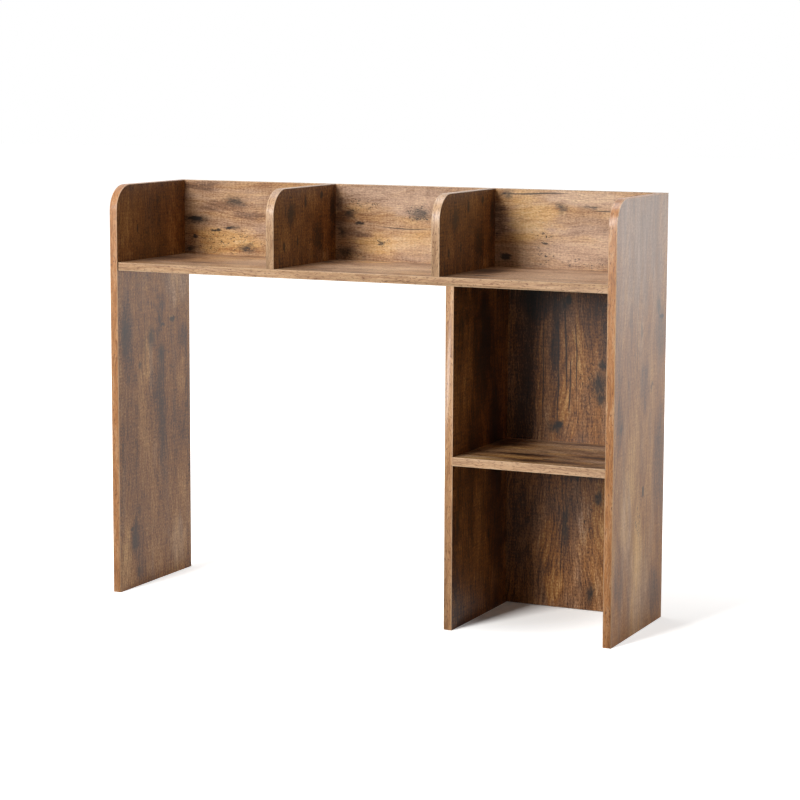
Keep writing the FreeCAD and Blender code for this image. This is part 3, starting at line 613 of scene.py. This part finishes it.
def edge_band(name, node, shift, look):
    """ABS edge band with a printed oak grain, lacquered: a soft sheen, wavy grain lines and short dark pores.
    Its arrises are scraped flush with the board; the paler line along them is a painted highlight on their
    rounding."""
    band = BANDS[node]
    ground = getattr(look, band.ground)
    make = NodeMaker(bpy.data.materials.new(name))
    place = axes_of(make, surface_place(make))
    along = place[band.follows[0].upper()]
    if len(band.follows) > 1:
        along = calc(make, "ADD", along, place[band.follows[1].upper()])
    across = place[band.across.upper()]
    tape = make.add("CombineXYZ", X=along, Y=across, Z=shift)
    tape = moved(make, tape, across_shift(make, grain_noise(make, tape, "band sway"), BAND_SWAY))

    # grain lines 2 mm apart that run in and out of paler stretches
    tone = add_up(make, (grain_noise(make, tape, "band stretch"), 1.0),
                  (grain_noise(make, tape, "band line"), 1.5), (1.0, 0.5))
    base = ramp(make, tone, (0.22, blend(ground, look.pore, 0.55)), (0.85, blend(ground, look.pale, 0.55)),
                (0.5, ground))
    # pores up to 7 mm long, drawn three times their real width so that they show
    pore = rise(make, grain_noise(make, tape, "band pore"), 0.06, 0.14, 0.85)
    base = cover(make, base, look.pore, pore)
    # A paler line along both arrises: a painted highlight on their rounding.
    middle, half = span(node, band.across)
    offset = calc(make, "ABSOLUTE", calc(make, "SUBTRACT", across, middle))
    arris_highlight = rise(make, offset, half - ARRIS_HIGHLIGHT_EDGE[0], half - ARRIS_HIGHLIGHT_EDGE[1], 0.35)
    base = cover(make, base, look.arris_highlight, arris_highlight)

    bump = make.add("Bump", Strength=0.2, Distance=0.08 * MM, Height=calc(make, "MULTIPLY", pore, -1.0))
    shader = make.add("BsdfPrincipled", Base_Color=base, Roughness=look.roughness, Normal=bump, IOR=1.5,
                      Coat_Weight=look.lacquer, Coat_Roughness=0.3)
    make.add("OutputMaterial", Surface=shader)
    return make.owner


def worn_metal(name, tint, roughness, crystals_per_metre):
    """Cast or plated metal: a fine crystalline mottle in its colour and gloss."""
    make = NodeMaker(bpy.data.materials.new(name))
    mottle = make.add("TexNoise", Vector=surface_place(make), Scale=crystals_per_metre, Detail=3.0)
    base = cover(make, darker(tint, 0.75), tint, mottle)
    rough = make.add("MapRange", Value=mottle, To_Min=roughness - 0.08, To_Max=roughness + 0.12)
    bump = make.add("Bump", Strength=0.15, Distance=0.05 * MM, Height=mottle)
    shader = make.add("BsdfPrincipled", Base_Color=base, Metallic=1.0, Roughness=rough, Normal=bump)
    make.add("OutputMaterial", Surface=shader)
    return make.owner


def turned_beech(name, tint):
    """Turned beech rod: short brown flecks in pale wood, unfinished."""
    make = NodeMaker(bpy.data.materials.new(name))
    flecks_per_metre = (300.0, 900.0, 900.0)
    place = make.add("Mapping", Vector=surface_place(make), Scale=flecks_per_metre)
    fleck = make.add("TexNoise", Vector=place, Scale=1.0, Detail=2.0)
    base = cover(make, tint, darker(tint, 0.55), rise(make, fleck, 0.5, 0.8))
    bump = make.add("Bump", Strength=0.2, Distance=0.1 * MM, Height=fleck)
    shader = make.add("BsdfPrincipled", Base_Color=base, Roughness=0.65, Normal=bump)
    make.add("OutputMaterial", Surface=shader)
    return make.owner


def dress(node, material):
    """Put a material on every slot of a CAD node."""
    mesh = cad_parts[node].data
    if not mesh.materials:
        mesh.materials.append(material)
    for slot in range(len(mesh.materials)):
        mesh.materials[slot] = material


def smooth_copy(node):
    """A piece that stands for a CAD node, with its faceted corners shaded as the round ones that they are."""
    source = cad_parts[node]
    piece = source.copy()
    piece.data = source.data.copy()
    piece.name = f"{node}_strip"
    bpy.context.collection.objects.link(piece)
    bpy.ops.object.select_all(action="DESELECT")
    piece.select_set(True)
    bpy.context.view_layer.objects.active = piece
    bpy.ops.object.mode_set(mode="EDIT")
    bpy.ops.mesh.select_all(action="SELECT")
    bpy.ops.mesh.remove_doubles(threshold=0.001 * MM)
    bpy.ops.object.mode_set(mode="OBJECT")
    bpy.ops.object.shade_smooth_by_angle(angle=math.radians(35))
    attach(piece, "root")
    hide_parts(node)
    return piece


# ---------------------------------------------------------------------------
# The stage
# ---------------------------------------------------------------------------

WHITE = srgb("#FFFFFF")

# How strongly the floor glows near the hutch and how far away it glows fully, and how the glow goes out under
# the cubby, which paints shade on the floor there: how much of it, and within how far of the cubby's rear
# left corner. The margin lies under the boards around the cubby.
NEAR_GLOW = 0.68
GLOW_REACH = (1.0, 3.0)
CUBBY_PAINTED_SHADE = 0.66
PAINTED_SHADE_REACH = (0.12, 0.38)
CUBBY_MARGIN = 8 * MM
MIRRORED_GLOW = 0.2

# Where each lamp hangs, its width and height, and the setting that holds its power. All aim at one point.
LAMP_AIM = (0, 0, 0.35)
LAMPS = {
    "key": ((-1.7, -5.6, 2.8), (1.8, 3.6), "key_strength"),
    "top": ((-0.8, 0.2, 3.8), (2.0, 2.0), "top_strength"),
    "rim": ((3.0, 3.5, 0.5), (1.8, 0.45), "rim_strength"),
    "side": ((3.4, 1.4, 0.5), (1.2, 0.45), "side_strength"),
}

# The camera's place in metres, its turn in degrees, its lens and sensor in millimetres, and its shift.
CAMERA_PLACE = (1.7801, -3.7080, 0.9560)
CAMERA_TURN = (82.859, -0.225, 25.237)
CAMERA_LENS = 105.46
CAMERA_SENSOR = 36
CAMERA_SHIFT = -0.05


def studio_floor(look):
    """White painted floor that glows a little where the camera sees it, except under the cubby's roof, where
    the missing glow paints shade.
    """
    make = NodeMaker(bpy.data.materials.new("studio_floor"))
    diffuse = make.add("BsdfDiffuse", Color=look.floor, Roughness=1.0)
    path = make.add("LightPath").node.outputs
    mirrored = calc(make, "MAXIMUM", path["Is Glossy Ray"], path["Is Transmission Ray"])
    seen = calc(make, "MAXIMUM", path["Is Camera Ray"], calc(make, "MULTIPLY", mirrored, MIRRORED_GLOW))
    low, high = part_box("lower_back_panel")
    place = surface_place(make)
    away = make.add("VectorMath", {"operation": "DISTANCE"}, _0=place, _1=(low[0], low[1], 0.0))
    away = away.node.outputs["Value"]
    axes = axes_of(make, place)
    inside = calc(make, "GREATER_THAN", axes["X"], low[0] - CUBBY_MARGIN)
    for axis, edge in (("X", high[0]), ("Y", low[1])):
        inside = calc(make, "MULTIPLY", inside, calc(make, "LESS_THAN", axes[axis], edge + CUBBY_MARGIN))
    # Painted shade: the glow goes out near the cubby's rear left corner, so the floor there looks shadowed.
    painted_shade = make.add("MapRange", {"interpolation_type": "SMOOTHSTEP"}, Value=away, From_Min=PAINTED_SHADE_REACH[0],
                   From_Max=PAINTED_SHADE_REACH[1], To_Min=-CUBBY_PAINTED_SHADE, To_Max=0.0)
    far = make.add("MapRange", Value=away, From_Min=GLOW_REACH[0], From_Max=GLOW_REACH[1],
                   To_Min=NEAR_GLOW, To_Max=1.0)
    glow = calc(make, "MULTIPLY_ADD", inside, painted_shade, far)
    lift = make.add("Emission", Color=WHITE, Strength=calc(make, "MULTIPLY", seen, glow))
    make.add("OutputMaterial", Surface=make.add("AddShader", _0=diffuse, _1=lift))
    return make.owner


def white_surroundings(look):
    """A world that is white where the camera or a gloss sees it, and gives only a little light."""
    make = NodeMaker(bpy.data.worlds.new("white_studio"))
    path = make.add("LightPath").node.outputs
    seen = calc(make, "MAXIMUM", path["Is Camera Ray"], path["Is Glossy Ray"])
    strength = make.add("MapRange", Value=seen, To_Min=look.fill_strength)
    make.add("OutputWorld", Surface=make.add("Background", Color=WHITE, Strength=strength))
    return make.owner


def hang_lamp(name, place, size, watts):
    """A rectangular lamp that faces the hutch."""
    bpy.ops.object.light_add(type="AREA", location=place)
    lamp = bpy.context.object
    lamp.name = name
    lamp.data.shape = "RECTANGLE"
    lamp.data.size, lamp.data.size_y = size
    lamp.data.energy = watts
    aim = Vector(LAMP_AIM) - lamp.location
    lamp.rotation_euler = aim.to_track_quat("-Z", "Y").to_euler()


# ---------------------------------------------------------------------------
# Operators
# ---------------------------------------------------------------------------


class DressBoards(bpy.types.Operator):
    """Put the rustic laminate on the nine boards"""

    bl_idname = "hutch.dress_boards"
    bl_label = "Boards"

    def execute(self, context):
        for node in BOARDS:
            dress(node, printed_laminate(f"laminate_{node}", node, context.scene.hutch_laminate))
        return {"FINISHED"}


class DressBands(bpy.types.Operator):
    """Lay the oak-printed edge bands, with smooth round corners"""

    bl_idname = "hutch.dress_bands"
    bl_label = "Edge bands"

    def execute(self, context):
        for number, node in enumerate(BANDS):
            oak = edge_band(f"oak_{node}", node, TAPE_PIECE * number, context.scene.hutch_band)
            mesh = smooth_copy(node).data
            mesh.materials.clear()
            mesh.materials.append(oak)
        return {"FINISHED"}


class DressFittings(bpy.types.Operator):
    """Put metal and beech on the cams, bolts, screws and dowels"""

    bl_idname = "hutch.dress_fittings"
    bl_label = "Fittings"

    def execute(self, context):
        look = context.scene.hutch_fitting
        zinc = worn_metal("die_cast_zinc", look.zinc, 0.45, 900.0)
        steel = worn_metal("zinc_plated_steel", look.steel, 0.32, 1500.0)
        beech = turned_beech("turned_beech", look.beech)
        finishes = {"_cams": zinc, "_bolts": steel, "_screws": steel, "_dowels": beech}
        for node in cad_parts:
            for ending, material in finishes.items():
                if node.endswith(ending):
                    dress(node, material)
        return {"FINISHED"}


class SetStage(bpy.types.Operator):
    """Lay the floor, hang the lamps and place the camera"""

    bl_idname = "hutch.set_stage"
    bl_label = "Stage"

    def execute(self, context):
        scene = context.scene
        look = scene.hutch_stage
        scene.view_settings.view_transform = "Standard"

        bpy.ops.object.select_all(action="DESELECT")
        bpy.ops.mesh.primitive_plane_add(size=look.floor_width)
        floor = context.object
        floor.name = "floor"
        floor.data.materials.append(studio_floor(look))

        for name, (place, size, setting) in LAMPS.items():
            hang_lamp(name, place, size, getattr(look, setting))
        scene.world = white_surroundings(look)

        turn = [math.radians(degrees) for degrees in CAMERA_TURN]
        bpy.ops.object.camera_add(location=CAMERA_PLACE, rotation=turn)
        camera = context.object
        camera.name = "camera"
        camera.data.sensor_width = CAMERA_SENSOR
        camera.data.lens = CAMERA_LENS
        camera.data.shift_y = CAMERA_SHIFT
        scene.camera = camera
        return {"FINISHED"}


OPERATORS = (DressBoards, DressBands, DressFittings, SetStage)


class HutchPanel(bpy.types.Panel):
    """Lists the hutch's operators"""

    bl_idname = "VIEW3D_PT_hutch"
    bl_label = "Over-desk hutch"
    bl_space_type = "VIEW_3D"
    bl_region_type = "UI"
    bl_category = "Hutch"

    def draw(self, context):
        for operator in OPERATORS:
            self.layout.operator(operator.bl_idname)


def register():
    for group in SETTINGS.values():
        bpy.utils.register_class(group)
    for name, group in SETTINGS.items():
        setattr(bpy.types.Scene, name, bpy.props.PointerProperty(type=group))
    for kind in (*OPERATORS, HutchPanel):
        bpy.utils.register_class(kind)


def unregister():
    for kind in (HutchPanel, *reversed(OPERATORS)):
        bpy.utils.unregister_class(kind)
    for name in SETTINGS:
        delattr(bpy.types.Scene, name)
    for group in SETTINGS.values():
        bpy.utils.unregister_class(group)


def main():
    register()
    bpy.ops.hutch.dress_boards()
    bpy.ops.hutch.dress_bands()
    bpy.ops.hutch.dress_fittings()
    bpy.ops.hutch.set_stage()


if __name__ == "__main__":
    main()
